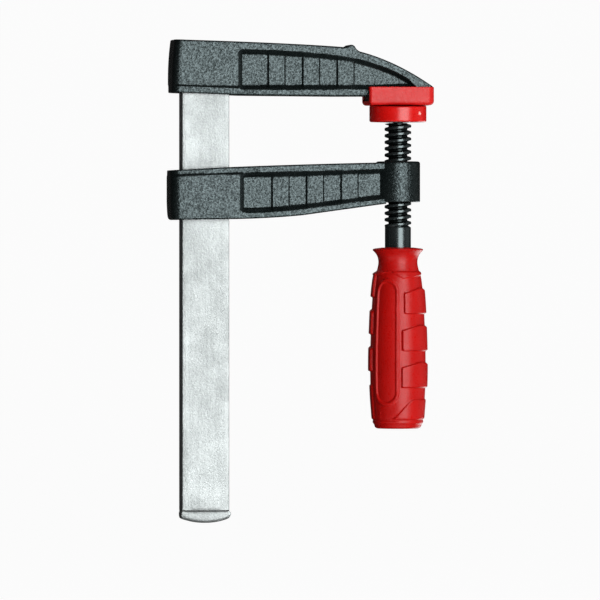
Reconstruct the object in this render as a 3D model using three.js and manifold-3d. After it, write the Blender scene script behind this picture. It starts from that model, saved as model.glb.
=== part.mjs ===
// An F clamp: a flat steel rail, a fixed arm at its top end, an arm that slides along it, and a
// screw through the sliding arm that presses a swivelling pad against the fixed jaw.
// Units are millimetres, +Z is up. The origin is the middle of the fixed jaw's clamping face, on
// the axis of the screw: +X points out of the throat, away from the rail, and +Z points from the
// screw's handle towards the fixed jaw. The jaws are shown closed.
import * as THREE from "three";
import { mergeVertices } from "three/addons/utils/BufferGeometryUtils.js";
import Module from "manifold-3d";

const wasm = await Module();
wasm.setup();

// ---- Driving dimensions ----

const throat = 80; // from the rail's front edge to the screw's axis
const gap = 0.3; // between pieces that are fitted together
const slide = 0.35; // running clearance round the rail in the sliding arm
const past = 1; // how far a cutting shape runs past the face it cuts

const rail = {
  width: 22,
  thickness: 10.5,
  top: 29,
  stop: -187.9, // where the pressed end stop begins
  tipSides: -191.4,
  tipMiddle: -193.4,
  tipSpread: 1, // how much wider the pressed end is, each side
  tipThickness: 8.7,
};
rail.front = -throat;
rail.back = -throat - rail.width;
rail.middle = -throat - rail.width / 2;

const arm = {
  wall: 5, // behind the rail
  blockHalf: 10, // half thickness round the rail
  blockFront: -76, // where the arm starts to taper
  jawHalf: 7, // half thickness at the jaw end
  webHalf: 4.6, // half thickness of the web between the flanges
  neck: -24, // where the taper ends
  corner: 3,
};
arm.back = rail.back - arm.wall;

const bars = { count: 3, pitch: 16.2, width: 7.9, proud: 1 }; // raised bars on the arms' webs

const anvil = { back: -14.4, front: 13.4, half: 9, bottom: 2.2, top: 6.6 };
const jawCap = { back: -15.2, front: 15.6, half: 11, height: 8.5, round: 1, edge: 1.2, lip: 1.2 };

const boss = { radius: 10.3, top: -26, bottom: -44.9 };

const thread = { major: 6.2, minor: 4.4, pitch: 3, crest: 0.9, root: 0.8, segments: 24, clearance: 0.22 };
const screw = {
  coreTop: -8.3,
  threadTop: -9,
  threadEnd: -56,
  shankRadius: 6.1,
  handleTop: -66,
  tangRadius: 5.3,
  tangEnd: -126,
  splines: 8,
  neckRadius: 2,
  ballRadius: 2.7,
  ballCentre: -5.7,
};
const ring = { inner: 2.62, outer: 4.2, top: -6.5, bottom: -7.1, opening: 0.5 };
const plate = { radius: 11.3, top: -2.5, bottom: -6.9, hubRadius: 6, hubBottom: -7.9, mouth: 3.5 };
const padCap = {
  radius: 13.25,
  ridge: -0.1, // the top of its face, along X
  ridgeHalf: 1,
  eaves: -0.75, // where its face has fallen to at the front and back
  bottom: -7.7,
  face: 1.4,
  wall: 1.6,
  edge: 0.7,
  lip: 0.5,
};

const handle = { top: -66, bottom: -150.1, bore: 6.5, boreEnd: -127, segments: 40 };

// ---- Materials ----

const standard = (color, roughness, metalness) =>
  new THREE.MeshStandardMaterial({ color, roughness, metalness });
const castBlack = standard(0x3f4646, 0.62, 0.25);
const zincSteel = standard(0xc9cdca, 0.38, 0.85);
const blackSteel = standard(0x14181a, 0.28, 0.8);
const springSteel = standard(0x77797a, 0.35, 0.9);
const redPlastic = standard(0xc8201c, 0.45, 0);

// ---- Solids ----

// A closed three.js geometry as a solid that can be joined and cut.
function solid(geometry) {
  const bare = geometry.clone();
  bare.deleteAttribute("normal");
  bare.deleteAttribute("uv");
  const merged = mergeVertices(bare, 1e-4);
  const vertProperties = new Float32Array(merged.attributes.position.array);
  const triVerts = new Uint32Array(merged.index.array);
  return new wasm.Manifold(new wasm.Mesh({ numProp: 3, vertProperties, triVerts }));
}

// A solid as a named mesh.
function piece(name, body, material) {
  const { vertProperties, triVerts } = body.getMesh();
  const geometry = new THREE.BufferGeometry();
  geometry.setAttribute("position", new THREE.BufferAttribute(vertProperties, 3));
  geometry.setIndex(new THREE.BufferAttribute(triVerts, 1));
  geometry.computeVertexNormals();
  const mesh = new THREE.Mesh(geometry, material);
  mesh.name = name;
  return mesh;
}

// A shape drawn in X and Z, as a prism that reaches from y = low to y = high.
function prismAlongY(shape, low, high, curveSegments = 8) {
  const geometry = new THREE.ExtrudeGeometry(shape, {
    depth: high - low,
    bevelEnabled: false,
    curveSegments,
  });
  geometry.rotateX(Math.PI / 2);
  geometry.translate(0, high, 0);
  return solid(geometry);
}

// A shape drawn in X and Y, as a prism that reaches from z = low to z = high.
function prismAlongZ(shape, low, high, curveSegments = 8) {
  const geometry = new THREE.ExtrudeGeometry(shape, {
    depth: high - low,
    bevelEnabled: false,
    curveSegments,
  });
  geometry.translate(0, 0, low);
  return solid(geometry);
}

function box(x0, x1, y0, y1, z0, z1) {
  const geometry = new THREE.BoxGeometry(x1 - x0, y1 - y0, z1 - z0);
  geometry.translate((x0 + x1) / 2, (y0 + y1) / 2, (z0 + z1) / 2);
  return solid(geometry);
}

// A body of revolution about the Z axis. The points are [radius, z], from the lowest to the
// highest, and they start and end on the axis.
function lathe(points, segments = 36) {
  const profile = points.map(([radius, z]) => new THREE.Vector2(radius, z));
  const geometry = new THREE.LatheGeometry(profile, segments);
  geometry.rotateX(Math.PI / 2);
  return solid(geometry);
}

function disc(radius, low, high, segments = 36) {
  return lathe([[0, low], [radius, low], [radius, high], [0, high]], segments);
}

// A rectangle with round corners, drawn about its middle.
function roundedRectangle(width, height, radius) {
  const x = width / 2;
  const y = height / 2;
  const shape = new THREE.Shape();
  shape.moveTo(-x + radius, -y);
  shape.absarc(x - radius, -y + radius, radius, -Math.PI / 2, 0);
  shape.absarc(x - radius, y - radius, radius, 0, Math.PI / 2);
  shape.absarc(-x + radius, y - radius, radius, Math.PI / 2, Math.PI);
  shape.absarc(-x + radius, -y + radius, radius, Math.PI, 1.5 * Math.PI);
  return shape;
}

function polygon(points) {
  const shape = new THREE.Shape();
  shape.moveTo(...points[0]);
  for (const point of points.slice(1)) shape.lineTo(...point);
  return shape;
}

// A right-hand screw thread about the Z axis as a solid bar, from z = low upwards over a whole
// number of turns. Grown by the clearance, it is the cutter for the matching nut.
function threadedBar(low, turns, clearance = 0) {
  const { pitch, segments } = thread;
  const crest = thread.crest + clearance;
  const root = thread.root - clearance;
  const flank = (pitch - crest - root) / 2;
  const major = thread.major + clearance;
  const minor = thread.minor + clearance;
  const turn = [
    [minor, -root / 2],
    [minor, root / 2],
    [major, root / 2 + flank],
    [major, root / 2 + flank + crest],
  ];
  const rows = turns * turn.length;
  const positions = [];
  const index = new Map();
  // The row after the last column of a turn is the same row, one turn further up, in column 0.
  const corner = (row, column) => {
    if (column === segments) return corner(row + turn.length, 0);
    const key = `${row},${column}`;
    if (!index.has(key)) {
      const [radius, height] = turn[row % turn.length];
      const angle = (2 * Math.PI * column) / segments;
      const rise = pitch * (Math.floor(row / turn.length) + column / segments);
      index.set(key, positions.length / 3);
      positions.push(radius * Math.cos(angle), radius * Math.sin(angle), low + height + rise);
    }
    return index.get(key);
  };
  const triangles = [];
  for (let column = 0; column < segments; column++) {
    for (let row = 0; row < rows; row++) {
      const a = corner(row, column);
      const b = corner(row, column + 1);
      const c = corner(row + 1, column + 1);
      const d = corner(row + 1, column);
      triangles.push(a, b, c, a, c, d);
    }
  }
  // Each end is closed by a fan from a point on the axis to the end's edge.
  const close = (row, upwards) => {
    const edge = [];
    for (let column = 0; column <= segments; column++) edge.push(corner(row, column));
    for (let step = turn.length - 1; step > 0; step--) edge.push(corner(row + step, 0));
    const centre = positions.length / 3;
    positions.push(0, 0, low + pitch * (row / turn.length + 0.5));
    edge.forEach((from, i) => {
      const to = edge[(i + 1) % edge.length];
      if (upwards) triangles.push(centre, from, to);
      else triangles.push(centre, to, from);
    });
  };
  close(0, false);
  close(rows, true);
  const geometry = new THREE.BufferGeometry();
  geometry.setAttribute("position", new THREE.Float32BufferAttribute(positions, 3));
  geometry.setIndex(triangles);
  return solid(geometry);
}

// ---- The rail ----

function makeRail() {
  const edge = 0.8;
  const section = roundedRectangle(rail.width, rail.thickness, edge);
  const bar = prismAlongZ(section, rail.stop, rail.top, 2).translate([rail.middle, 0, 0]);
  const tip = new THREE.Shape();
  tip.moveTo(rail.back, rail.stop + past);
  tip.lineTo(rail.back, rail.stop);
  tip.lineTo(rail.back - rail.tipSpread, rail.tipSides + 1);
  tip.quadraticCurveTo(rail.back, rail.tipSides - 0.6, rail.middle, rail.tipMiddle);
  tip.quadraticCurveTo(rail.front, rail.tipSides - 0.6, rail.front + rail.tipSpread, rail.tipSides + 1);
  tip.lineTo(rail.front, rail.stop);
  tip.lineTo(rail.front, rail.stop + past);
  return bar.add(prismAlongY(tip, -rail.tipThickness / 2, rail.tipThickness / 2));
}

// ---- The arms ----

// Both arms seen from above: thick round the rail, tapering towards the jaw, round at the back.
function armPlan(jawEnd) {
  const { back, blockHalf, blockFront, jawHalf, corner, neck } = arm;
  const shape = new THREE.Shape();
  shape.moveTo(back + corner, -blockHalf);
  shape.lineTo(blockFront, -blockHalf);
  shape.lineTo(neck, -jawHalf);
  shape.lineTo(jawEnd, -jawHalf);
  shape.lineTo(jawEnd, jawHalf);
  shape.lineTo(neck, jawHalf);
  shape.lineTo(blockFront, blockHalf);
  shape.lineTo(back + corner, blockHalf);
  shape.absarc(back + corner, blockHalf - corner, corner, Math.PI / 2, Math.PI);
  shape.absarc(back + corner, -blockHalf + corner, corner, Math.PI, 1.5 * Math.PI);
  return shape;
}

// The hollow on both sides of an arm, with the raised bars left standing in it.
function armHollows(pocket, firstBar) {
  const outer = arm.blockHalf + past;
  let hollow = prismAlongY(pocket, arm.webHalf, outer, 4);
  for (let i = 0; i < bars.count; i++) {
    const x = firstBar + i * bars.pitch;
    const bar = box(x, x + bars.width, 0, arm.webHalf + bars.proud, -100, 100);
    hollow = hollow.subtract(bar);
  }
  return hollow.add(hollow.mirror([0, 1, 0]));
}

function makeFixedArm() {
  const outline = new THREE.Shape();
  outline.moveTo(arm.back, 8);
  outline.quadraticCurveTo(arm.back, 6, arm.back + 2, 6);
  outline.lineTo(-74, 4.8);
  outline.lineTo(-30, 4.3);
  outline.lineTo(anvil.back, 4.3);
  outline.lineTo(anvil.back, anvil.bottom);
  outline.lineTo(anvil.front, anvil.bottom);
  outline.lineTo(anvil.front, 6.4);
  outline.quadraticCurveTo(15.4, 6.6, 15.2, 8.6);
  outline.quadraticCurveTo(-0.5, 20.1, -20, 25.6);
  outline.quadraticCurveTo(-20.6, 28.6, -23.4, 28.8);
  outline.quadraticCurveTo(-26.4, 28.6, -28, 27.5);
  outline.quadraticCurveTo(-50, 28.8, -104, 29.9);
  outline.quadraticCurveTo(arm.back + 0.4, 29.8, arm.back + 0.4, 28);
  const side = prismAlongY(outline, -arm.blockHalf, arm.blockHalf);
  const plan = prismAlongZ(armPlan(30), anvil.bottom, 40, 4);

  const pocket = new THREE.Shape();
  pocket.moveTo(-75.6, 10.2);
  pocket.quadraticCurveTo(-75.6, 8.6, -74, 8.6);
  pocket.lineTo(-12, 8.4);
  pocket.lineTo(-2, 9.4);
  pocket.quadraticCurveTo(8, 10.6, 6.5, 11.6);
  pocket.quadraticCurveTo(-6, 18, -24, 21.6);
  pocket.quadraticCurveTo(-46, 24.1, -74, 24.6);
  pocket.quadraticCurveTo(-75.6, 24.6, -75.6, 23);

  const slotHalf = rail.thickness / 2 + gap;
  const slot = box(rail.back - gap, rail.front + gap, -slotHalf, slotHalf, 0, 40);
  const foot = box(anvil.back, anvil.front, -anvil.half, anvil.half, anvil.bottom, anvil.top);
  return side.intersect(plan).subtract(armHollows(pocket, -61.8)).subtract(slot).add(foot);
}

// The plastic shoe that slides on over the fixed arm's anvil. Its end towards the rail is open.
function makeFixedJawCap() {
  const { back, front, half, height, round, edge, lip } = jawCap;
  const middle = (back + front) / 2;
  const length = front - back;
  const upper = prismAlongZ(roundedRectangle(length, 2 * half, round), edge, height, 4);
  const lower = prismAlongZ(roundedRectangle(length - 2 * edge, 2 * (half - edge), round), 0, edge, 4);
  const hull = wasm.Manifold.hull([upper, lower]).translate([middle, 0, 0]);
  const cavity = box(
    back - past, anvil.front + gap, -anvil.half - gap, anvil.half + gap, anvil.bottom - gap, anvil.top + gap,
  );
  const mouthHalf = arm.jawHalf + gap + 0.2;
  const mouth = box(back - past, front + past, -mouthHalf, mouthHalf, anvil.bottom - gap + lip, height + past);
  return hull.subtract(cavity).subtract(mouth);
}

function makeSlidingArm() {
  const outline = new THREE.Shape();
  outline.moveTo(arm.back, -51.1);
  outline.quadraticCurveTo(arm.back, -53.1, arm.back + 2, -53.1);
  outline.lineTo(-74, -52.5);
  outline.quadraticCurveTo(-57, -52.2, -46, -51);
  outline.lineTo(0, -45.4);
  outline.lineTo(0, boss.top);
  outline.lineTo(-11, boss.top);
  outline.quadraticCurveTo(-46, -26.9, -80, -28.4);
  outline.lineTo(arm.back + 1.5, -29.8);
  outline.quadraticCurveTo(arm.back, -29.8, arm.back, -31.3);
  const side = prismAlongY(outline, -arm.blockHalf, arm.blockHalf);
  const plan = prismAlongZ(armPlan(0), -60, -20, 4);

  const pocket = new THREE.Shape();
  pocket.moveTo(-74.8, -46.9);
  pocket.quadraticCurveTo(-74.8, -48.7, -73.2, -48.7);
  pocket.quadraticCurveTo(-59, -48.5, -46, -47);
  pocket.lineTo(-2, -41.6);
  pocket.lineTo(-2, -30.4);
  pocket.lineTo(-73.2, -32.2);
  pocket.quadraticCurveTo(-74.8, -32.2, -74.8, -33.8);

  const slotHalf = rail.thickness / 2 + slide;
  const slot = box(rail.back - slide, rail.front + slide, -slotHalf, slotHalf, -60, -20);
  const turns = Math.ceil((boss.top - boss.bottom) / thread.pitch) + 4;
  const phase = Math.floor((boss.bottom - screw.threadEnd) / thread.pitch) - 2;
  const nut = threadedBar(screw.threadEnd + phase * thread.pitch, turns, thread.clearance);
  const edge = 0.8;
  const barrel = lathe([
    [0, boss.bottom],
    [boss.radius - edge, boss.bottom],
    [boss.radius, boss.bottom + edge],
    [boss.radius, boss.top - edge],
    [boss.radius - edge, boss.top],
    [0, boss.top],
  ]);
  return side.intersect(plan).subtract(armHollows(pocket, -60)).subtract(slot).add(barrel).subtract(nut);
}

// ---- The screw, its pad and its handle ----

function makeSpindle() {
  const turns = Math.ceil((screw.coreTop - screw.threadEnd) / thread.pitch) + 2;
  const bar = threadedBar(screw.threadEnd - thread.pitch, turns);
  const chamfer = thread.major - thread.minor;
  const envelope = lathe([
    [0, screw.threadEnd],
    [thread.minor, screw.threadEnd],
    [thread.major + past, screw.threadEnd + 0.4 * chamfer],
    [thread.major + past, screw.threadTop - 0.4 * chamfer - 0.3 * past],
    [thread.minor, screw.threadTop],
    [thread.minor, screw.coreTop],
    [0, screw.coreTop],
  ]);
  const shank = lathe([
    [0, screw.handleTop - past],
    [screw.shankRadius, screw.handleTop - past],
    [screw.shankRadius, screw.threadEnd - 1],
    [thread.minor + 0.4, screw.threadEnd + 0.5],
    [0, screw.threadEnd + 0.5],
  ]);
  const tang = new THREE.Shape();
  const teeth = 4 * screw.splines;
  for (let i = 0; i < teeth; i++) {
    const angle = (2 * Math.PI * i) / teeth;
    const radius = screw.tangRadius + (i % 4 < 2 ? 0.7 : 0);
    if (i === 0) tang.moveTo(radius, 0);
    else tang.lineTo(radius * Math.cos(angle), radius * Math.sin(angle));
  }
  const grip = prismAlongZ(tang, screw.tangEnd, screw.handleTop - past + 0.5);

  const arcs = 10;
  const start = Math.asin(screw.neckRadius / screw.ballRadius);
  const ball = [[0, screw.coreTop - 0.5], [screw.neckRadius, screw.coreTop - 0.5]];
  for (let i = 0; i <= arcs; i++) {
    const angle = start + ((Math.PI - start) * i) / arcs;
    const radius = i === arcs ? 0 : screw.ballRadius * Math.sin(angle);
    ball.push([radius, screw.ballCentre - screw.ballRadius * Math.cos(angle)]);
  }
  return bar.intersect(envelope).add(shank).add(grip).add(lathe(ball, 24));
}

// The split wire ring that keeps the ball in its socket.
function makeSnapRing() {
  const body = disc(ring.outer, ring.bottom, ring.top, 32).subtract(
    disc(ring.inner, ring.bottom - past, ring.top + past, 32),
  );
  const half = ring.opening / 2;
  return body.subtract(box(0, ring.outer + past, -half, half, ring.bottom - past, ring.top + past));
}

// The steel plate that swivels on the ball: a socket above, a groove for the ring, and a hub.
function makePressurePlate() {
  const edge = 0.5;
  const body = lathe([
    [0, plate.hubBottom],
    [plate.hubRadius - edge, plate.hubBottom],
    [plate.hubRadius, plate.hubBottom + edge],
    [plate.hubRadius, plate.bottom],
    [plate.radius - edge, plate.bottom],
    [plate.radius, plate.bottom + edge],
    [plate.radius, plate.top - edge],
    [plate.radius - edge, plate.top],
    [0, plate.top],
  ]);
  const fit = 0.08;
  const groove = ring.outer + 0.4;
  const arcs = 9;
  const socket = [
    [0, plate.hubBottom - past],
    [plate.mouth, plate.hubBottom - past],
    [plate.mouth, ring.bottom - 0.35],
    [groove, ring.bottom - 0.35],
    [groove, ring.top + 0.35],
    [screw.ballRadius + fit, ring.top + 0.35],
  ];
  for (let i = 0; i <= arcs; i++) {
    const angle = (Math.PI / 2) * (i / arcs);
    const radius = i === arcs ? 0 : (screw.ballRadius + fit) * Math.cos(angle);
    socket.push([radius, screw.ballCentre + (screw.ballRadius + fit) * Math.sin(angle)]);
  }
  return body.subtract(lathe(socket, 24));
}

// The plastic cap over the plate. Its face falls away a little to the front and back, so that the
// pad can tilt beside the fixed jaw, and a lip inside its open end clips under the plate.
function makePadCap() {
  const { radius, ridge, ridgeHalf, eaves, bottom, face, wall, edge, lip } = padCap;
  const inner = radius - wall;
  const shell = lathe([
    [0, bottom],
    [radius - edge, bottom],
    [radius, bottom + edge],
    [radius, ridge - edge],
    [radius - 0.3 * edge, ridge - 0.3 * edge],
    [radius - edge, ridge],
    [0, ridge],
  ], 48);
  const slopes = polygon([
    [-radius, bottom - past],
    [radius, bottom - past],
    [radius, eaves],
    [ridgeHalf, ridge],
    [-ridgeHalf, ridge],
    [-radius, eaves],
  ]);
  const roof = prismAlongY(slopes, -radius - past, radius + past).rotate([0, 0, 90]);
  const cavity = lathe([
    [0, bottom - past],
    [inner - lip, bottom - past],
    [inner - lip, plate.bottom - gap],
    [inner, plate.bottom - gap + lip],
    [inner, eaves - face],
    [0, eaves - face],
  ], 48);
  return shell.intersect(roof).subtract(cavity);
}

function makeHandle() {
  const { top, bottom, bore, boreEnd, segments } = handle;
  const body = lathe([
    [0, bottom],
    [9.3, bottom],
    [10.9, bottom + 2],
    [12.1, bottom + 8],
    [13.2, bottom + 24],
    [13.7, bottom + 33],
    [13.3, bottom + 45],
    [12.2, bottom + 62],
    [11.4, top - 14],
    [9.5, top - 9.5],
    [9.5, top - 6],
    [10.4, top - 3],
    [11.8, top - 1.2],
    [11.3, top - 0.3],
    [6.6 + 1, top],
    [0, top],
  ], segments);
  return body.subtract(disc(bore, boreEnd, top + past, 24));
}

// ---- The clamp ----

const clamp = new THREE.Group();
clamp.add(
  piece("rail", makeRail(), zincSteel),
  piece("fixed_arm", makeFixedArm(), castBlack),
  piece("fixed_jaw_cap", makeFixedJawCap(), redPlastic),
  piece("sliding_arm", makeSlidingArm(), castBlack),
  piece("spindle", makeSpindle(), blackSteel),
  piece("snap_ring", makeSnapRing(), springSteel),
  piece("pressure_plate", makePressurePlate(), zincSteel),
  piece("pad_cap", makePadCap(), redPlastic),
  piece("handle", makeHandle(), redPlastic),
);

export default clamp;
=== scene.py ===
import math

import bmesh
import bpy
import numpy as np
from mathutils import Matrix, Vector


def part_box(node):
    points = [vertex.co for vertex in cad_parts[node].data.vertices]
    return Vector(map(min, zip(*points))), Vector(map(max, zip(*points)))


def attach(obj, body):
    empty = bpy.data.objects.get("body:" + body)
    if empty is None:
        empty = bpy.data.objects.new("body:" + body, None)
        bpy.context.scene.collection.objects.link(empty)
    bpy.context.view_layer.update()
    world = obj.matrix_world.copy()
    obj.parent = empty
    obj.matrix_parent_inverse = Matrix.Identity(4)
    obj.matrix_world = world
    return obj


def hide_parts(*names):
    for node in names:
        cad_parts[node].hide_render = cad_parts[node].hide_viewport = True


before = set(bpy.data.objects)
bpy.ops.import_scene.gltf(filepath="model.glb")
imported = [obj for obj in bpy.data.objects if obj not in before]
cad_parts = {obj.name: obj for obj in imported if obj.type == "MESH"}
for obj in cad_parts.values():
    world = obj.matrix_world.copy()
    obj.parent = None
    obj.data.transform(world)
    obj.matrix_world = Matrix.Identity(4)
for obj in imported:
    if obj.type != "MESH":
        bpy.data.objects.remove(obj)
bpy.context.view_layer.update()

MM = 0.001


def node_box(name):
    """The lowest and highest corner of a CAD node, in millimetres."""
    low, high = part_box(name)
    return np.array(low) / MM, np.array(high) / MM


rail_low, rail_high = node_box("rail")
fixed_low, fixed_high = node_box("fixed_arm")
sliding_low = node_box("sliding_arm")[0]
shoe_low, shoe_high = node_box("fixed_jaw_cap")
screw_low = node_box("spindle")[0]
cap_low, cap_high = node_box("pad_cap")
grip_low, grip_high = node_box("handle")

# ---- Curves and profiles ----


def soft_step(t):
    """0 below t = 0, 1 above t = 1, and smooth between."""
    t = np.clip(t, 0, 1)
    return t * t * (3 - 2 * t)


def ramp(t, soft=0.14):
    """A straight rise from 0 to 1 as t goes from 0 to 1, with slightly rounded ends."""
    shifts = (-soft, 0, soft)
    return sum(np.clip(t + shift, 0, 1) for shift in shifts) / len(shifts)


def edge_setback(distance, radius):
    """How far a rounded edge lies behind the full face, that distance in from the edge."""
    inward = radius - np.clip(distance, 0, radius)
    return radius - np.sqrt(radius**2 - inward**2)


def corner_inset(a, b, radius):
    """The distance inside two edges that meet in a round corner, never more than its radius."""
    return radius - np.hypot(np.clip(radius - a, 0, None), np.clip(radius - b, 0, None))


def quarter_turn(steps):
    """Sine and cosine pairs over a quarter turn, for a rounded edge."""
    return [(math.sin(angle), math.cos(angle)) for angle in np.linspace(0, math.pi / 2, steps)]


def polyline(start, *legs, steps=20):
    """Points along straight legs (end,) and quadratic curves (control, end), one after another."""
    points = [np.array(start, float)]
    for leg in legs:
        first, end = points[-1], np.array(leg[-1], float)
        control = np.array(leg[0], float) if len(leg) == 2 else (first + end) / 2
        for t in np.linspace(0, 1, steps + 1)[1:]:
            points.append((1 - t) ** 2 * first + 2 * t * (1 - t) * control + t**2 * end)
    return np.array(points)


def height_along(points):
    """The polyline as a function that gives its second coordinate for its first."""
    order = np.argsort(points[:, 0])
    return lambda x: np.interp(x, points[order, 0], points[order, 1])


def merged_samples(*groups, closest=0.02):
    """All the sample positions in order, without near duplicates."""
    values = np.sort(np.concatenate([np.atleast_1d(group) for group in groups]))
    keep = np.concatenate([[True], np.diff(values) > closest])
    return values[keep]


# ---- Meshes ----

WELD_DISTANCE = 1e-7  # in metres


def mesh_object(name, vertices, faces, material=None):
    """A closed mesh in metres, with its doubles merged and its faces pointing out."""
    mesh = bpy.data.meshes.new(name)
    mesh.from_pydata((np.asarray(vertices) * MM).tolist(), [], faces)
    work = bmesh.new()
    work.from_mesh(mesh)
    bmesh.ops.remove_doubles(work, verts=work.verts, dist=WELD_DISTANCE)
    bmesh.ops.recalc_face_normals(work, faces=work.faces)
    work.to_mesh(mesh)
    work.free()
    if material:
        mesh.materials.append(material)
    obj = bpy.data.objects.new(name, mesh)
    bpy.context.scene.collection.objects.link(obj)
    shade(obj)
    return obj


def shade(obj, sharp_angle=38):
    """Smooth shading, with a crisp edge where two faces meet at more than that angle."""
    for polygon in obj.data.polygons:
        polygon.use_smooth = True
    obj.data.set_sharp_from_angle(angle=math.radians(sharp_angle))


def loft(name, rings, material=None, closed_ends=(True, True)):
    """A body through rings of points, each ring closed on itself."""
    size = len(rings[0])
    faces = []
    for i in range(len(rings) - 1):
        for j in range(size):
            k = (j + 1) % size
            faces.append((i * size + j, i * size + k, (i + 1) * size + k, (i + 1) * size + j))
    if closed_ends[0]:
        faces.append(tuple(reversed(range(size))))
    if closed_ends[1]:
        faces.append(tuple(range((len(rings) - 1) * size, len(rings) * size)))
    return mesh_object(name, np.concatenate(rings), faces, material)


def round_ring(radius, z, azimuths):
    """A ring about the screw's axis. The radius and the height may vary round it."""
    radius = np.broadcast_to(radius, azimuths.shape)
    z = np.broadcast_to(z, azimuths.shape)
    return np.stack([radius * np.sin(azimuths), -radius * np.cos(azimuths), z], axis=1)


def turned(name, profile, columns, material=None):
    """A body of revolution about the screw's axis, from (radius, z) points."""
    azimuths = np.linspace(0, 2 * np.pi, columns, endpoint=False)
    return loft(name, [round_ring(r, z, azimuths) for r, z in profile], material)


def block(name, low, high):
    """A plain box, used only to cut with or to join on."""
    low, high = np.array(low, float), np.array(high, float)
    corners = [(0, 0), (1, 0), (1, 1), (0, 1)]
    rings = []
    for top in (0, 1):
        rings.append(np.array([low + (high - low) * (i, j, top) for i, j in corners]))
    return loft(name, rings)


def combine(obj, other, operation):
    """Joins or cuts obj with the other body, which is used up."""
    modifier = obj.modifiers.new("combine", "BOOLEAN")
    modifier.operation = operation
    modifier.solver = "EXACT"
    modifier.object = other
    depsgraph = bpy.context.evaluated_depsgraph_get()
    result = bpy.data.meshes.new_from_object(obj.evaluated_get(depsgraph))
    obj.modifiers.clear()
    obj.data = result
    bpy.data.objects.remove(other)
    shade(obj)


def weighted_normals(obj):
    """Keeps the large faces of a cut body flat in the shading."""
    modifier = obj.modifiers.new("normals", "WEIGHTED_NORMAL")
    modifier.keep_sharp = True


# ---- Materials ----


class Look:
    """A material's node tree, with short ways to add nodes to it."""

    def __init__(self, name, **sockets):
        self.material = bpy.data.materials.new(name)
        self.material.use_nodes = True
        self.nodes = self.material.node_tree.nodes
        self.links = self.material.node_tree.links
        self.shader = self.nodes["Principled BSDF"]
        for socket, value in sockets.items():
            self.shader.inputs[socket.replace("_", " ")].default_value = value
        self.place = self.nodes.new("ShaderNodeTexCoord").outputs["Object"]

    def stretched(self, x, y, z):
        """The object's coordinates, squeezed along each axis."""
        node = self.nodes.new("ShaderNodeMapping")
        node.inputs["Scale"].default_value = (x, y, z)
        self.links.new(self.place, node.inputs["Vector"])
        return node.outputs["Vector"]

    def noise(self, size, detail=3, roughness=0.55, place=None):
        """Noise with features of that size in millimetres."""
        node = self.nodes.new("ShaderNodeTexNoise")
        node.inputs["Scale"].default_value = 1 / (size * MM)
        node.inputs["Detail"].default_value = detail
        node.inputs["Roughness"].default_value = roughness
        self.links.new(place or self.place, node.inputs["Vector"])
        return node.outputs["Fac"]

    def cells(self, size):
        """Soft round cells of that size in millimetres, dark in their middles."""
        node = self.nodes.new("ShaderNodeTexVoronoi")
        node.feature = "SMOOTH_F1"
        node.inputs["Scale"].default_value = 1 / (size * MM)
        self.links.new(self.place, node.inputs["Vector"])
        return node.outputs["Distance"]

    def from_axis(self):
        """The distance from the screw's axis, in metres."""
        flat = self.stretched(1, 1, 0)
        node = self.nodes.new("ShaderNodeVectorMath")
        node.operation = "LENGTH"
        self.links.new(flat, node.inputs[0])
        return node.outputs["Value"]

    def ranged(self, value, low, high, start=0.35, end=0.65):
        """Maps value from start..end to low..high."""
        node = self.nodes.new("ShaderNodeMapRange")
        for socket, number in zip(("From Min", "From Max", "To Min", "To Max"), (start, end, low, high)):
            node.inputs[socket].default_value = number
        self.links.new(value, node.inputs["Value"])
        return node.outputs["Result"]

    def colours(self, value, *stops):
        """A colour ramp through (position, colour) stops."""
        node = self.nodes.new("ShaderNodeValToRGB")
        elements = node.color_ramp.elements
        while len(elements) < len(stops):
            elements.new(0.5)
        for element, (position, colour) in zip(elements, stops):
            element.position = position
            element.color = (*colour, 1)
        self.links.new(value, node.inputs["Fac"])
        return node.outputs["Color"]

    def summed(self, *parts):
        """The sum of (value, weight) parts."""
        total = None
        for value, weight in parts:
            node = self.nodes.new("ShaderNodeMath")
            node.operation = "MULTIPLY_ADD"
            node.inputs[1].default_value = weight
            self.links.new(value, node.inputs[0])
            if total:
                self.links.new(total, node.inputs[2])
            else:
                node.inputs[2].default_value = 0
            total = node.outputs["Value"]
        return total

    def spot(self, colour, point, radius, spot_colour):
        """The colour with a small round spot of another colour at a point, in millimetres."""
        distance = self.nodes.new("ShaderNodeVectorMath")
        distance.operation = "DISTANCE"
        distance.inputs[1].default_value = np.array(point) * MM
        self.links.new(self.place, distance.inputs[0])
        solid = 0.6 * radius
        inside = self.ranged(distance.outputs["Value"], 1, 0, start=solid * MM, end=radius * MM)
        mix = self.nodes.new("ShaderNodeMix")
        mix.data_type = "RGBA"
        colour_sockets = [socket for socket in mix.inputs if socket.type == "RGBA"]
        colour_sockets[1].default_value = (*spot_colour, 1)
        self.links.new(colour, colour_sockets[0])
        self.links.new(inside, mix.inputs["Factor"])
        return [socket for socket in mix.outputs if socket.type == "RGBA"][0]

    def bump(self, height, depth):
        """Raises the surface with the height value, by up to depth millimetres."""
        node = self.nodes.new("ShaderNodeBump")
        node.inputs["Strength"].default_value = 1.0
        node.inputs["Distance"].default_value = depth * MM
        self.links.new(height, node.inputs["Height"])
        self.links.new(node.outputs["Normal"], self.shader.inputs["Normal"])

    def set(self, socket, value):
        """Feeds a value into one of the shader's sockets."""
        self.links.new(value, self.shader.inputs[socket])


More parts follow.
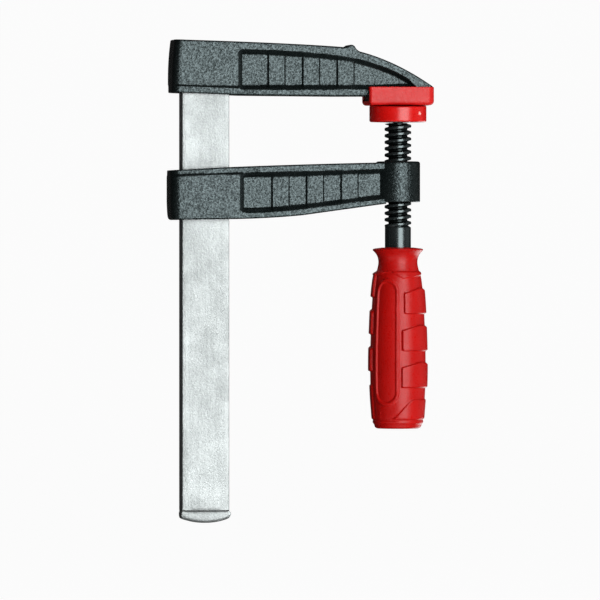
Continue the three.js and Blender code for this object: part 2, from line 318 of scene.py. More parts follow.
def cast_coat():
    """Black enamel baked on a sand casting: dark, satin and grainy."""
    look = Look("cast_coat", Specular_Tint=(0.84, 1.0, 1.03, 1.0))
    dark, light = (0.003, 0.0045, 0.0045), (0.007, 0.009, 0.009)
    broad = look.noise(14, detail=2)
    grain = look.noise(0.75, detail=3, roughness=0.6)
    pebbles = look.cells(1.0)
    coarse = look.summed((grain, 0.75), (pebbles, 0.25))
    look.set("Base Color", look.colours(broad, (0.3, dark), (0.75, light)))
    look.set("Specular IOR Level", look.ranged(coarse, 0.25, 1.0, start=0.4, end=0.6))
    look.set("Roughness", look.ranged(grain, 0.2, 0.3))
    look.bump(coarse, depth=0.3)
    return look.material


def zinc_plate():
    """Bright zinc on rolled flat steel: pale satin metal with faint grain along its length."""
    look = Look("zinc_plate", Metallic=0.85)
    dull, bright = (0.225, 0.231, 0.23), (0.43, 0.438, 0.437)
    streaks = look.noise(1.6, detail=3, place=look.stretched(1, 1, 0.06))
    speckle = look.noise(0.7, detail=3, roughness=0.65)
    clouds = look.noise(11, detail=3)
    tone = look.summed((clouds, 0.3), (speckle, 0.55), (streaks, 0.15))
    look.set("Base Color", look.colours(tone, (0.38, dull), (0.6, bright)))
    look.set("Roughness", look.ranged(speckle, 0.4, 0.55))
    look.bump(look.summed((speckle, 0.9), (streaks, 0.3)), depth=0.14)
    return look.material


def black_oxide():
    """Blackened steel, with shade painted dark into the thread's roots and a highlight painted bright on its
    crests.
    """
    look = Look("black_oxide", Metallic=0.9)
    root, flank, crest_highlight = (0.012, 0.015, 0.015), (0.05, 0.06, 0.061), (0.085, 0.098, 0.1)
    root_radius, crest_radius = 4.9, 5.9
    fine = look.noise(0.5, detail=3)
    broad = look.noise(4, detail=3)
    # Painted light: the colour goes dark towards the thread's roots as painted shade and bright on its crests
    # as a painted highlight, with a little random tone.
    crest = look.ranged(look.from_axis(), 0, 1, start=root_radius * MM, end=crest_radius * MM)
    painted_light_and_tone = look.summed((crest, 0.8), (broad, 0.4))
    look.set("Base Color", look.colours(painted_light_and_tone, (0.15, root), (0.8, flank), (1.0, crest_highlight)))
    look.set("Roughness", look.ranged(fine, 0.2, 0.3))
    look.bump(fine, depth=0.012)
    return look.material


def spring_steel():
    """Plain drawn spring wire."""
    look = Look("spring_wire", Metallic=1.0)
    dull, bright = (0.3, 0.3, 0.3), (0.42, 0.42, 0.41)
    fine = look.noise(0.4, detail=3)
    look.set("Base Color", look.colours(fine, (0.35, dull), (0.65, bright)))
    look.set("Roughness", look.ranged(fine, 0.28, 0.42))
    return look.material


def moulded_red(name, dark, light, roughness, texture, texture_depth, gloss=0.5, highlight_spot=None):
    """Moulded plastic with slightly uneven pigment and a fine texture.

    texture is the size of the texture's grain and texture_depth its height. highlight_spot is the place
    of a small pale spot painted on the mould pip as a highlight. All three are in millimetres.
    """
    look = Look(name, Specular_IOR_Level=gloss)
    broad = look.noise(9, detail=2)
    fine = look.noise(texture, detail=3, roughness=0.6)
    colour = look.colours(broad, (0.3, dark), (0.7, light))
    # A small pale spot, a painted highlight on the mould pip.
    if highlight_spot:
        highlight_radius, highlight_colour = 1.0, (0.9, 0.36, 0.33)
        colour = look.spot(colour, highlight_spot, highlight_radius, highlight_colour)
    look.set("Base Color", colour)
    look.set("Roughness", look.ranged(fine, *roughness))
    look.bump(fine, depth=texture_depth)
    return look.material


# The pip where the pad cap's mould was filled
PIP_AZIMUTH = math.radians(40)
PIP_Z = -3.8
PIP_RADIUS = 0.9
PIP_HEIGHT = 0.4
# The pip's centre also places the pad's painted highlight spot.
PIP_CENTRE = (cap_high[0] * math.sin(PIP_AZIMUTH), -cap_high[0] * math.cos(PIP_AZIMUTH), PIP_Z)

CAST_COAT = cast_coat()
ZINC_PLATE = zinc_plate()
BLACK_OXIDE = black_oxide()
SPRING_WIRE = spring_steel()
RED_SHOE = moulded_red(
    "red_shoe", (0.45, 0.003, 0.002), (0.51, 0.004, 0.003), roughness=(0.33, 0.57),
    texture=0.8, texture_depth=0.06, gloss=0.36,
)
RED_PAD = moulded_red(
    "red_pad", (0.51, 0.003, 0.002), (0.56, 0.004, 0.003), roughness=(0.26, 0.31),
    texture=3.0, texture_depth=0.004, highlight_spot=PIP_CENTRE,
)
RED_GRIP = moulded_red(
    "red_grip", (0.37, 0.002, 0.001), (0.41, 0.003, 0.002), roughness=(0.25, 0.49),
    texture=0.7, texture_depth=0.05, gloss=0.3,
)

# ---- The rail ----

RAIL_EDGE = 0.4
PRESSED_HALF = 4.35  # half the thickness of the pressed end
PRESSED_LENGTH = 5.5
TIP_SPREAD = 1.0  # how far the pressed end spreads past the bar
LEFT_SHARE = 0.3  # of that spread, on the side away from the screw
TIP_SAG = 2.0  # how far the tip's middle lies below its corners
TIP_CURVE = 2.2  # the power of its curve


def rounded_rectangle(half_x, half_y, right_radius, left_radius=None, corner_steps=5):
    """The outline of a rectangle with round corners, about its middle."""
    if left_radius is None:
        left_radius = right_radius
    points = []
    for quarter, (sign_x, sign_y) in enumerate([(1, 1), (-1, 1), (-1, -1), (1, -1)]):
        radius = right_radius if sign_x > 0 else left_radius
        for step in range(corner_steps + 1):
            angle = (quarter + step / corner_steps) * math.pi / 2
            x = sign_x * (half_x - radius) + radius * math.cos(angle)
            y = sign_y * (half_y - radius) + radius * math.sin(angle)
            points.append((x, y))
    return np.array(points)


def dense_outline(half_x, half_y, radius, along=14):
    """A rounded rectangle with extra points on its long sides, so that they can be bent."""
    outline = rounded_rectangle(half_x, half_y, radius)
    dense = []
    for point, following in zip(outline, np.roll(outline, -1, axis=0)):
        steps = along if abs(following[0] - point[0]) > half_x else 1
        for step in range(steps):
            dense.append(point + (following - point) * step / steps)
    return np.array(dense)


def make_rail():
    """The flat bar, whose lower end is pressed thinner and wider into a stop."""
    middle = (rail_low[0] + rail_high[0]) / 2
    half_width = (rail_high[0] - rail_low[0]) / 2 - TIP_SPREAD
    half_thick = (rail_high[1] - rail_low[1]) / 2
    top, tip = rail_high[2], rail_low[2]
    pressed = tip + PRESSED_LENGTH
    # Each row is its height, what it adds to the half width and half thickness, and its share of the sag.
    rows = [(top, -0.6, -0.6, 0), (top - 0.2, -0.2, -0.2, 0), (top - 0.6, 0, 0, 0)]
    for z in np.linspace(top - 4, pressed + 2, 12):
        rows.append((z, 0, 0, 0))
    step = half_thick - PRESSED_HALF
    rows += [
        (pressed + 0.5, 0, 0, 0),
        (pressed + 0.35, 0, -0.1 * step, 0.05),
        (pressed - 0.35, 0.05, -0.9 * step, 0.1),
        (pressed - 0.6, 0.25, -step, 0.2),
        (pressed - 1.8, 0.75, -step, 0.5),
        (pressed - 2.8, 1.0, -step, 0.8),
        (tip + 1.4, 0.95, -step, 1),
        (tip + 0.6, 0.55, -step - 0.25, 1),
        (tip + 0.15, 0.0, -step - 0.7, 1),
        (tip, -0.7, -step - 1.4, 1),
    ]
    rings = []
    for z, wider, thicker, sag in rows:
        outline = dense_outline(half_width + wider, half_thick + thicker, RAIL_EDGE)
        if wider > 0:
            outline[outline[:, 0] < 0, 0] += wider * (1 - LEFT_SHARE)
        lift = sag * TIP_SAG * np.abs(outline[:, 0] / half_width) ** TIP_CURVE
        rings.append(np.column_stack([outline[:, 0] + middle, outline[:, 1], z + lift]))
    rail = loft("flat_rail", rings, ZINC_PLATE)
    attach(rail, "frame")
    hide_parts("rail")


# ---- The arms ----

BLOCK_HALF = fixed_high[1]  # half the thickness at the rail
JAW_HALF = 7.0  # half the thickness at the jaw
WEB_HALF = 4.6  # half the thickness between the two pockets
TAPER = (-76.0, -24.0)
TAPER_BLEND = (-4, -2, 0, 2, 4)
CAST_EDGE = 0.8
END_ROUND = 0.35
WALL_RUN = 1.9
END_WALL_SLOPE = 0.8  # the pocket's end wall runs out further than its other walls
POCKET_CORNER = 2.4
BAR_COUNT = 3
BAR_PROUD = 1.0
BAR_RUN = 0.6
BAR_PITCH = 16.2
LEDGE_STEP = 1.3
LEDGE_RUN = 0.8
LEDGE_FADE = 12
LEAN_REACH = 9
FACE_ROWS = 54
PLAIN_STEP, FINE_STEP, WALL_STEP, BAR_STEP = 1.5, 0.45, 0.2, 0.12


def arm_half(x):
    """Half the thickness of an arm's flanges, tapering towards the jaw without a crease."""
    halves = [np.interp(x + shift, TAPER, (BLOCK_HALF, JAW_HALF)) for shift in TAPER_BLEND]
    return sum(halves) / len(halves)


class Arm:
    """A cast arm, as lines and depths over its side view.

    Its lines are points (x, z): the arm's top and bottom, the pocket's top and bottom, and the ledge
    that crosses the block round the rail. The face steps back above the ledge if ledge_side is 1 and
    below it if it is -1. The back end leans towards the jaw by lean_most, growing from lean_level
    over lean_run, which is negative where it grows downwards.
    """

    def __init__(
        self, back, end, top, bottom, pocket_top, pocket_bottom, ledge, *,
        ledge_side, pocket_left, first_bar, bar_width, back_round, heel_round,
        lean_most, lean_level, lean_run,
    ):
        self.back, self.end = back, end
        self.top, self.bottom = height_along(top), height_along(bottom)
        self.pocket_top, self.pocket_bottom = height_along(pocket_top), height_along(pocket_bottom)
        self.pocket_left = pocket_left
        self.ledge, self.ledge_side = height_along(ledge), ledge_side
        starts = [first_bar + i * BAR_PITCH for i in range(BAR_COUNT)]
        self.bars = [(start, start + bar_width) for start in starts]
        self.back_round, self.heel_round = back_round, heel_round
        self.lean_most, self.lean_level, self.lean_run = lean_most, lean_level, lean_run

    def floor(self, x):
        """The pocket's floor, with its raised bars."""
        bars = sum(
            ramp((x - start) / BAR_RUN + 1) * ramp((end - x) / BAR_RUN + 1) for start, end in self.bars
        )
        return WEB_HALF + BAR_PROUD * bars

    def half(self, x, z):
        """Half the arm's thickness at a point of its side view."""
        past_ledge = self.ledge_side * (z - self.ledge(x))
        fade = 1 - soft_step((x - self.pocket_left) / LEDGE_FADE)
        face = arm_half(x) - LEDGE_STEP * ramp(past_ledge / LEDGE_RUN) * fade
        from_left = x - self.pocket_left
        from_end = from_left * END_WALL_SLOPE
        inset = np.minimum(
            corner_inset(from_end, self.pocket_top(x) - z, POCKET_CORNER),
            corner_inset(from_end, z - self.pocket_bottom(x), POCKET_CORNER),
        )
        inset = np.where(from_left > 0, inset, -1)
        depth = np.clip(face - self.floor(x), 0, None)
        return face - depth * ramp(inset / WALL_RUN)

    def lean(self, x, z):
        """How far a point near the back end is shifted towards the jaw."""
        near = 1 - soft_step((x - self.back) / LEAN_REACH)
        return near * self.lean_most * np.clip((z - self.lean_level) / self.lean_run, 0, 1) ** 2

    def sections(self):
        """X positions of the sections, close together where the faces change quickly."""
        back_curve = self.back + self.back_round * (1 - np.cos(np.linspace(0, np.pi / 2, 10)))
        edges = [self.pocket_left + np.arange(0, 3.0, WALL_STEP)]
        for start, finish in self.bars:
            edges.append(start + np.arange(-0.8, 0.5, BAR_STEP))
            edges.append(finish + np.arange(-0.4, 0.9, BAR_STEP))
        plain = np.arange(self.back + self.back_round + 1, self.pocket_left, PLAIN_STEP)
        fine = np.arange(self.pocket_left, self.end, FINE_STEP)
        return merged_samples(back_curve, plain, fine, *edges, [self.end])

    def casting(self, name):
        """The arm's body, each section a ring from the bottom up its front and down its rear."""
        rings = []
        curve = 1 - np.cos(np.linspace(0, np.pi / 2, 5))[:-1]
        for x in self.sections():
            from_back = x - self.back
            top = self.top(x) - edge_setback(from_back, END_ROUND)
            bottom = self.bottom(x) + edge_setback(from_back, self.heel_round)
            edge = min(CAST_EDGE, (top - bottom) * 0.4)
            z = np.concatenate([
                bottom + edge * curve,
                np.linspace(bottom + edge, top - edge, FACE_ROWS),
                top - edge * curve[::-1],
            ])
            setback = edge_setback(np.minimum(z - bottom, top - z), edge)
            half = self.half(x, z) - setback - edge_setback(from_back, self.back_round)
            leant = x + self.lean(x, z)
            front = np.column_stack([leant, -half, z])
            rear = np.column_stack([leant, half, z])
            rings.append(np.concatenate([front, rear[::-1]]))
        return loft(name, rings, CAST_COAT)


def rail_slot(clearance, low, high):
    """The cutter for the slot that the rail goes through."""
    left = rail_low[0] + TIP_SPREAD - clearance
    right = rail_high[0] - TIP_SPREAD + clearance
    half = rail_high[1] + clearance
    return block("slot", (left, -half, low), (right, half, high))


def make_fixed_arm():
    """The arm at the top of the rail, with its nub and the anvil foot that the shoe clips over."""
    back, end = fixed_low[0], 15.3
    arm = Arm(
        back, end,
        top=polyline(
            (back, 30.1),
            ((-50, 28.6), (-26.8, 26.9)),
            ((-24.6, 26.9), (-24.0, 27.7)),
            ((-22.6, 28.5), (-21.3, 27.2)),
            ((-20.6, 25.6), (-19.0, 24.9)),
            ((-1.5, 20.4), (end, 8.8)),
        ),
        bottom=polyline((back, 5.6), ((-74, 4.4),), ((-30, 4.05),), ((end, 4.3),)),
        pocket_top=polyline((-77, 25.5), ((-47, 25.2), (-23, 22.0)), ((-6, 18.2), (3.5, 12.3)), ((9, 6.8),)),
        pocket_bottom=polyline((-77, 7.0), ((-12, 7.4),), ((9, 8.4),)),
        ledge=polyline((back, 9.4), ((-77, 8.5),)),
        ledge_side=-1, pocket_left=-76.5, first_bar=-61.5, bar_width=7.3, back_round=3.4, heel_round=0.4,
        lean_most=1.2, lean_level=12, lean_run=18,
    )
    body = arm.casting("fixed_arm_casting")
    foot_left, foot_right, foot_half = shoe_low[0] + 0.8, 13.4, 9
    foot_bottom, foot_top = 2.2, 6.6
    foot = block("foot", (foot_left, -foot_half, foot_bottom), (foot_right, foot_half, foot_top))
    combine(body, foot, "UNION")
    combine(body, rail_slot(0.3, -1, 40), "DIFFERENCE")
    weighted_normals(body)
    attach(body, "frame")
    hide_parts("fixed_arm")


BACK_PROUD = 0.7  # how far the sliding arm's rounded back stands past its CAD node
BOSS_RADIUS = 10.3
BOSS_TOP, BOSS_BOTTOM = -26.0, -44.9
BOSS_TOP_ROUND, BOSS_BOTTOM_ROUND = 1.1, 0.5

THREAD_MAJOR = 6.2
THREAD_MINOR = 4.4
THREAD_PITCH = 3.0
THREAD_END = -56.0
ROOT_START, FLANK_RUN = 0.8, 0.5  # in half pitches from the crest
NUT_CLEARANCE = 0.22


def thread_radius(azimuths, z):
    """The radius of the right-hand thread's surface."""
    turn = (azimuths - math.pi / 2) / (2 * math.pi)
    phase = ((z - THREAD_END) / THREAD_PITCH - turn) % 1
    from_crest = np.abs(phase - 0.5) * 2
    return THREAD_MINOR + (THREAD_MAJOR - THREAD_MINOR) * soft_step((ROOT_START - from_crest) / FLANK_RUN)


def make_sliding_arm():
    """The arm that runs on the rail, with the tapped boss for the screw."""
    back, end = sliding_low[0] - BACK_PROUD, -6.6
    arm = Arm(
        back, end,
        top=polyline((back, -30.3), ((-80, -28.8),), ((-46, -27.4), (-11, -26.6)), ((end, -26.5),)),
        bottom=polyline((back, -53.3), ((-74, -52.8),), ((-60, -52.4), (-46, -51.1)), ((end, -45.7),)),
        pocket_top=polyline((-76, -31.5), ((-48, -31.0),), ((end, -29.6),)),
        pocket_bottom=polyline((-76, -49.8), ((-62, -49.8), (-46, -48.1)), ((end, -43.2),)),
        ledge=polyline((back, -33.2), ((-76, -32.1),)),
        ledge_side=1, pocket_left=-75.7, first_bar=-59.7, bar_width=7.4, back_round=4.3, heel_round=1.8,
        lean_most=0.7, lean_level=-44, lean_run=-10,
    )
    body = arm.casting("sliding_arm_casting")
    core = 0.2  # the thread's cutter takes the middle away
    profile = [(core, BOSS_BOTTOM)]
    for sine, cosine in quarter_turn(5):
        r = BOSS_RADIUS - BOSS_BOTTOM_ROUND * (1 - sine)
        profile.append((r, BOSS_BOTTOM + BOSS_BOTTOM_ROUND * (1 - cosine)))
    for sine, cosine in quarter_turn(7):
        r = BOSS_RADIUS - BOSS_TOP_ROUND * (1 - cosine)
        profile.append((r, BOSS_TOP - BOSS_TOP_ROUND * (1 - sine)))
    profile.append((core, BOSS_TOP))
    combine(body, turned("barrel", profile, 160), "UNION")
    combine(body, rail_slot(0.35, -60, -20), "DIFFERENCE")
    azimuths = np.linspace(0, 2 * np.pi, 72, endpoint=False)
    cut_bottom, cut_top, cut_step = -48.1, -23.0, 0.25
    rings = []
    for z in np.arange(cut_bottom, cut_top, cut_step):
        rings.append(round_ring(thread_radius(azimuths, z) + NUT_CLEARANCE, z, azimuths))
    combine(body, loft("nut_thread", rings), "DIFFERENCE")
    weighted_normals(body)
    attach(body, "slider")
    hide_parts("sliding_arm")


# ---- The fixed jaw's shoe ----


def make_shoe():
    """The red shoe: a block with round corners and lower edges, hollow for the anvil foot and the arm."""
    middle = (shoe_low[0] + shoe_high[0]) / 2
    half_x = (shoe_high[0] - shoe_low[0]) / 2
    half_y = shoe_high[1]
    height = shoe_high[2]
    right_corner, left_corner = 3.4, 1.3
    least_right, least_left = 0.5, 0.3
    lower_round, upper_round = 1.9, 0.4
    rows = [(lower_round * (1 - cosine), lower_round * (1 - sine)) for sine, cosine in quarter_turn(7)]
    for z in np.linspace(lower_round, height - upper_round, 6)[1:-1]:
        rows.append((z, 0))
    for sine, cosine in quarter_turn(5):
        rows.append((height - upper_round * (1 - sine), upper_round * (1 - cosine)))
    rings = []
    for z, inset in rows:
        right_radius = max(right_corner - inset, least_right)
        left_radius = max(left_corner - inset, least_left)
        outline = rounded_rectangle(half_x - inset, half_y - inset, right_radius, left_radius, corner_steps=8)
        rings.append(np.column_stack([outline[:, 0] + middle, outline[:, 1], np.full(len(outline), z)]))
    body = loft("fixed_jaw_shoe", rings, RED_SHOE)
    past_left = shoe_low[0] - 1
    # The cavity takes the foot. The mouth above it is open at both ends, for the arm.
    cavity = block("cavity", (past_left, -9.3, 1.9), (13.7, 9.3, 6.9))
    mouth = block("mouth", (past_left, -7.5, 3.1), (17, 7.5, 9.5))
    combine(body, cavity, "DIFFERENCE")
    combine(body, mouth, "DIFFERENCE")
    weighted_normals(body)
    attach(body, "frame")
    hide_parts("fixed_jaw_cap")


# ---- The screw ----

SHANK_RADIUS = 6.05
RUN_OUT_START, RUN_OUT = THREAD_END - 0.9, 1.6  # where the shank turns into the thread, and over what length
THREAD_STEP = 0.15
CORE_BLEND = 0.3
CORE_TOP = -8.15
THREAD_TOP = -8.25
HANDLE_TOP = grip_high[2]
TANG_RADIUS = 5.3
SPLINE_COUNT, SPLINE_DEPTH = 8, 0.7
NECK_RADIUS, BALL_RADIUS, BALL_CENTRE = 2.0, 2.7, -5.7


def make_spindle():
    """The screw: a splined tang inside the handle, a plain shank, the thread, a neck and a ball."""
    azimuths = np.linspace(0, 2 * np.pi, 96, endpoint=False)
    tang_end = screw_low[2]
    spline = TANG_RADIUS + SPLINE_DEPTH * soft_step(0.5 + 1.6 * np.cos(SPLINE_COUNT * azimuths))
    rings = [round_ring(3.9, tang_end, azimuths), round_ring(spline - 0.6, tang_end + 0.1, azimuths)]
    for z in (tang_end + 0.8, HANDLE_TOP - 2.0):
        rings.append(round_ring(spline, z, azimuths))
    for z in (HANDLE_TOP - 1.4, HANDLE_TOP - 1.0, -62.0, -58.0, THREAD_END - 1.1):
        rings.append(round_ring(SHANK_RADIUS, z, azimuths))
    for z in np.arange(RUN_OUT_START, CORE_TOP, THREAD_STEP):
        from_shank = soft_step((z - RUN_OUT_START) / RUN_OUT)
        radius = SHANK_RADIUS * (1 - from_shank) + thread_radius(azimuths, z) * from_shank
        to_core = soft_step((z - THREAD_TOP + CORE_BLEND) / CORE_BLEND)
        radius = radius * (1 - to_core) + np.minimum(radius, THREAD_MINOR) * to_core
        rings.append(round_ring(radius, z, azimuths))
    rings.append(round_ring(THREAD_MINOR - 0.25, CORE_TOP, azimuths))
    rings.append(round_ring(NECK_RADIUS + 0.35, CORE_TOP + 0.02, azimuths))
    ball_start = math.asin(NECK_RADIUS / BALL_RADIUS)
    for angle in np.linspace(ball_start, math.pi - 0.06, 18):
        z = BALL_CENTRE - BALL_RADIUS * math.cos(angle)
        rings.append(round_ring(BALL_RADIUS * math.sin(angle), z, azimuths))
    body = loft("threaded_spindle", rings, BLACK_OXIDE)
    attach(body, "screw")
    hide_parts("spindle")


# ---- The pad's cap ----

PAD_SLOPE = 0.053  # how fast its face falls away to the front and back
PAD_RIDGE_HALF = 1  # half the width of the flat ridge between them


def make_pad_cap():
    """The round cap, with its mould pip outside and a lip inside that holds the plate."""
    radius = cap_high[0]
    ridge, bottom = cap_high[2] + 0.05, cap_low[2]
    face, wall, lip = 2.1, 1.6, 0.5  # the thicknesses of its face and wall, and how far its lip reaches in
    lip_top = -7.2
    inner = radius - wall
    round_bottom, round_top = 0.75, 0.6
    azimuths = np.linspace(0, 2 * np.pi, 360, endpoint=False)
    outside = []
    for sine, cosine in quarter_turn(6):
        outside.append((radius - round_bottom * (1 - sine), bottom + round_bottom * (1 - cosine)))
    for z in np.linspace(bottom + round_bottom, ridge - round_top, 34)[1:-1]:
        outside.append((radius, z))
    for sine, cosine in quarter_turn(5):
        outside.append((radius - round_top * (1 - cosine), ridge - round_top * (1 - sine)))
    rings = []
    for r, z in outside:
        from_pip = np.hypot((azimuths - PIP_AZIMUTH) * radius, z - PIP_Z)
        pip = PIP_HEIGHT * np.sqrt(np.clip(1 - (from_pip / PIP_RADIUS) ** 2, 0, 1))
        rings.append(round_ring(r + pip, z, azimuths))
    for r in np.linspace(radius - round_top - 0.8, 0.4, 12):
        rings.append(round_ring(r, ridge, azimuths))
    for ring in rings:
        fall = PAD_SLOPE * np.clip(np.abs(ring[:, 1]) - PAD_RIDGE_HALF, 0, None)
        ring[:, 2] -= fall * soft_step((ring[:, 2] - bottom) / (ridge - bottom))
    rings.reverse()
    inside = [
        (inner - lip, bottom),
        (inner - lip, bottom + 0.35),
        (inner - lip, lip_top),
        (inner, lip_top + lip),
        (inner, ridge - face - 0.5),
        (inner - 0.5, ridge - face),
        (inner * 0.5, ridge - face),
        (0.4, ridge - face),
    ]
    for r, z in inside:
        rings.append(round_ring(r, z, azimuths))
    body = loft("pad_cap_moulding", rings, RED_PAD)
    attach(body, "pad")
    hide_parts("pad_cap")


# ---- The handle ----

GRIP_PROFILE = [
    # (radius, z) of the plain grip under its raised details, from the base up
    (9.4, -150.1), (11.0, -148.4), (11.6, -146.0), (12.1, -141.0), (12.6, -134.0), (12.9, -124.0),
    (12.8, -112.0), (12.4, -100.0), (11.9, -90.0), (11.3, -83.5), (10.7, -79.5), (9.6, -76.0),
    (9.1, -73.4), (9.2, -71.4), (9.9, -69.4), (10.9, -68.1), (11.7, -67.3),
]
BASE_ROUND = 1.6
RIM_START = -67.5
GRIP_STEP = 0.32
ARC = 12.8 * math.pi / 180  # millimetres round the grip for each degree

PANEL_AZIMUTH = -36.0
PANEL_TOP, PANEL_BOTTOM = -86.8, -133.2  # the centres of its round ends
PANEL_HALF, PANEL_FACE_HALF = 6.6, 5.1
PANEL_RUN = 0.45
RIM_PROUD, FACE_SUNK = 0.5, 0.12

COLUMN_RIGHT = 11.4
BLOCK_PITCH = 17.2
BLOCK_CORNER = 0.9
BLOCK_RUN = 0.4
BLOCK_CLIMB, CLIMB_RUN = 2.6, 9
BLOCK_SINK, SINK_START, SINK_RUN = 0.9, 1, 10
WEDGE_PROUD, WEDGE_DROP, WEDGE_BOTTOM = 0.55, 9.6, -146.0
WEDGE_SIDE_RUN = 0.6
# Each column has its middle's azimuth, the height of its first block's top at the left, its blocks'
# height and left ends, and the height of its wedge's top.
COLUMNS = [
    {"azimuth": 54, "first": -87.2, "height": 9.6, "lefts": (-11.3, -12.4, -12.6), "wedge": -136.3},
    {"azimuth": 234, "first": -79.6, "height": 9.6, "lefts": (-11.4, -11.4, -11.4), "wedge": -129.6},
]

SHOULDER_PROUD = 0.6
SHOULDER_TOP = -76.9
SHOULDER_POINT = -80.5  # the lowest point of its lower edge
SHOULDER_DIP = 3.0  # the azimuth of that point
LEFT_REACH, LEFT_RISE = 28, 2.9
RIGHT_REACH, RIGHT_RISE = 72, 1.7
LAST_START, LAST_REACH, LAST_RISE = 110, 35, 1.5

BAND_PROUD, BAND_BOTTOM, BAND_TOP = 0.28, -147.9, -146.2
DOT_AZIMUTH, DOT_HEIGHTS = -53, (-142.7, -144.5)
DOT_RADIUS, DOT_STRETCH, DOT_PROUD = 0.55, 1.2, 0.25


def grip_radius(z):
    """The plain grip's radius, on a smooth curve through its profile."""
    radii = np.array([r for r, _ in GRIP_PROFILE])
    heights = np.array([h for _, h in GRIP_PROFILE])
    slopes = np.gradient(radii, heights)
    i = np.clip(np.searchsorted(heights, z) - 1, 0, len(heights) - 2)
    width = heights[i + 1] - heights[i]
    t = np.clip((z - heights[i]) / width, 0, 1)
    return (
        (2 * t**3 - 3 * t**2 + 1) * radii[i]
        + (t**3 - 2 * t**2 + t) * width * slopes[i]
        + (3 * t**2 - 2 * t**3) * radii[i + 1]
        + (t**3 - t**2) * width * slopes[i + 1]
    )


def apart_from(azimuths, degrees):
    """Azimuths as signed angles from a given one, in degrees."""
    return (np.degrees(azimuths) - degrees + 180) % 360 - 180


def block_relief(u, z, left, top, height):
    """A raised block whose top edge climbs to the right, then sinks a little.

    u is the distance round the grip from the middle of the block's column.
    """
    climb = BLOCK_CLIMB * ramp((u - left) / CLIMB_RUN)
    sink = BLOCK_SINK * soft_step((u - SINK_START) / SINK_RUN)
    above = z - (top - height)
    # The top wall is steep at the left and gentler to the right.
    gentler = 1 + 1.2 * soft_step((u + 3) / 9)
    below_top = (top + climb - sink - z) / gentler
    insets = []
    for inside in (u - left, COLUMN_RIGHT - u):
        insets.append(corner_inset(inside, below_top, BLOCK_CORNER))
        insets.append(corner_inset(inside, above, BLOCK_CORNER))
    return ramp(np.minimum.reduce(insets) / BLOCK_RUN)


def panel_relief(u, z):
    """The long panel with round ends: a raised rim round a slightly sunk face."""
    beyond = max(z - PANEL_TOP, PANEL_BOTTOM - z, 0)
    reach = np.hypot(u, beyond)
    face = ramp((PANEL_FACE_HALF - reach) / PANEL_RUN)
    rim = ramp((PANEL_HALF - reach) / PANEL_RUN) - face
    return RIM_PROUD * rim - FACE_SUNK * face


def column_relief(u, z, column):
    """A column of blocks, and the raised wedge that runs down from it into the base."""
    relief = np.zeros_like(u)
    for i, left in enumerate(column["lefts"]):
        relief += block_relief(u, z, left, column["first"] - i * BLOCK_PITCH, column["height"])
    wedge_top = column["wedge"] - WEDGE_DROP * soft_step((-5.5 - u) / 13.0)
    wedge = ramp(np.minimum(wedge_top - z, z - WEDGE_BOTTOM) / PANEL_RUN)
    return relief + WEDGE_PROUD * wedge * ramp((u + 21) / 1.5) * ramp((COLUMN_RIGHT - u) / WEDGE_SIDE_RUN)


def shoulder_relief(azimuths, z):
    """A raised band under the neck, whose lower edge dips to a point beside each panel."""
    a = (np.degrees(azimuths) - SHOULDER_DIP + LEFT_REACH) % 180 - LEFT_REACH
    left = LEFT_RISE * np.clip(-a / LEFT_REACH, 0, 1)
    right = RIGHT_RISE * np.clip(a / RIGHT_REACH, 0, 1)
    lower = SHOULDER_POINT + np.where(a < 0, left, right)
    lower = lower + LAST_RISE * soft_step((a - LAST_START) / LAST_REACH)
    return SHOULDER_PROUD * ramp(np.minimum(SHOULDER_TOP - z, z - lower) / BLOCK_RUN)


def grip_details(azimuths, z):
    """How far the moulded details stand proud of the plain grip."""
    relief = shoulder_relief(azimuths, z)
    for half_turn in (0, 180):
        relief += panel_relief(apart_from(azimuths, PANEL_AZIMUTH + half_turn) * ARC, z)
    for column in COLUMNS:
        relief += column_relief(apart_from(azimuths, column["azimuth"]) * ARC, z, column)
    relief += BAND_PROUD * ramp(min(z - BAND_BOTTOM, BAND_TOP - z) / 0.35)
    for height in DOT_HEIGHTS:
        from_dot = np.hypot(apart_from(azimuths, DOT_AZIMUTH) * ARC, (z - height) / DOT_STRETCH)
        relief += DOT_PROUD * np.sqrt(np.clip(1 - (from_dot / DOT_RADIUS) ** 2, 0, 1))
    return relief


def make_handle():
    """The moulded grip, closed at its base, with a blind bore for the screw's tang."""
    azimuths = np.linspace(0, 2 * np.pi, 312, endpoint=False)
    bottom, top = grip_low[2], grip_high[2]
    base_radius = grip_radius(bottom + BASE_ROUND)
    rings = []
    for r in (0.4, 3.0, 6.0, 7.4):
        rings.append(round_ring(r, bottom + 0.12, azimuths))
    for sine, cosine in quarter_turn(6)[:-1]:
        z = bottom + BASE_ROUND * (1 - cosine)
        rings.append(round_ring(base_radius - BASE_ROUND * (1 - sine), z, azimuths))
    for z in np.arange(bottom + BASE_ROUND, RIM_START, GRIP_STEP):
        rings.append(round_ring(grip_radius(z) + grip_details(azimuths, z), z, azimuths))
    rim = [
        (11.6, -67.4), (11.78, -67.15), (11.7, -66.9), (11.4, -66.62), (10.4, -66.4),
        (7.4, top - 0.02), (6.9, top),
    ]
    bore = [(6.6, top - 0.25), (6.5, -70.0), (6.5, -100.0), (6.5, -126.6), (6.1, -127.0), (0.4, -127.0)]
    for r, z in rim + bore:
        rings.append(round_ring(r, z, azimuths))
    body = loft("screw_grip", rings, RED_GRIP)
    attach(body, "screw")
    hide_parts("handle")


make_rail()
make_fixed_arm()
make_sliding_arm()
make_shoe()
make_spindle()
make_pad_cap()
make_handle()

# The plate and the ring inside the pad keep their CAD shape.
for node, material in (("pressure_plate", ZINC_PLATE), ("snap_ring", SPRING_WIRE)):
    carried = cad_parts[node]
    carried.data.materials.clear()
    carried.data.materials.append(material)

# ---- Floor, light and camera ----

